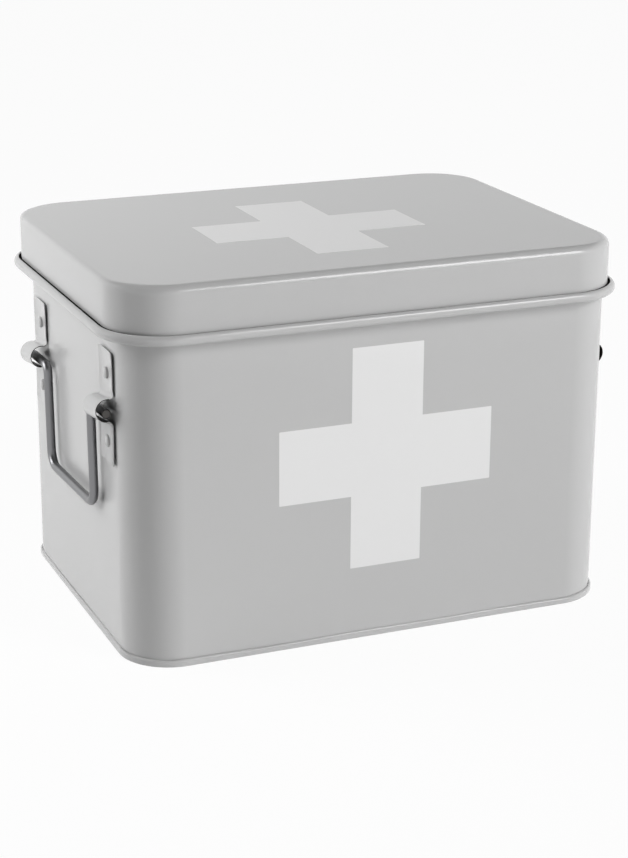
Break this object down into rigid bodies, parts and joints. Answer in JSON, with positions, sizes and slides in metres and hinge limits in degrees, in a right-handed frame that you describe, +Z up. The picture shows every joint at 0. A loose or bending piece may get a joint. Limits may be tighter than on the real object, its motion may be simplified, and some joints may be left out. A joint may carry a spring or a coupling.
{
  "type": "metal first aid box",
  "caption": "Small painted sheet metal first aid box with a loose slip-over lid, light crosses on the front and lid, and a wire bail handle on each end.",
  "frame": {"origin": "middle of the footprint, on the surface that the box stands on", "axes": "+X to the right and along the box's length, +Y from the front cross to the rear, +Z up; the front wall faces -Y"},
  "size_m": [0.2314, 0.1688, 0.1592],
  "materials": {
    "box_paint": "satin light grey enamel on sheet steel",
    "cross_print": "satin white printed enamel",
    "plated_wire": "bright plated steel wire"
  },
  "bodies": {
    "box": {"body_shell": "box_paint", "base_pan": "box_paint", "front_cross": "cross_print", "left_front_bracket": "box_paint", "left_rear_bracket": "box_paint", "right_front_bracket": "box_paint", "right_rear_bracket": "box_paint", "left_front_upper_rivet": "box_paint", "left_front_lower_rivet": "box_paint", "left_rear_upper_rivet": "box_paint", "left_rear_lower_rivet": "box_paint", "right_front_upper_rivet": "box_paint", "right_front_lower_rivet": "box_paint", "right_rear_upper_rivet": "box_paint", "right_rear_lower_rivet": "box_paint"},
    "lid": {"lid": "box_paint", "lid_cross": "cross_print"},
    "left_bail": {"left_bail": "plated_wire"},
    "right_bail": {"right_bail": "plated_wire"}
  },
  "joints": [
    {"name": "lid_lift", "type": "slide", "parent": "box", "child": "lid", "axis": [0, 0, 1], "range_m": [0, 0.12]},
    {"name": "left_bail_swing", "type": "hinge", "parent": "box", "child": "left_bail", "pos_m": [-0.1108, -0.003, 0.10091], "axis": [0, 0.9992, -0.04], "range_deg": [-1.5, 166]},
    {"name": "right_bail_swing", "type": "hinge", "parent": "box", "child": "right_bail", "pos_m": [0.1108, 0.0042, 0.1005], "axis": [0, -1, 0], "range_deg": [-1.5, 172]}
  ]
}
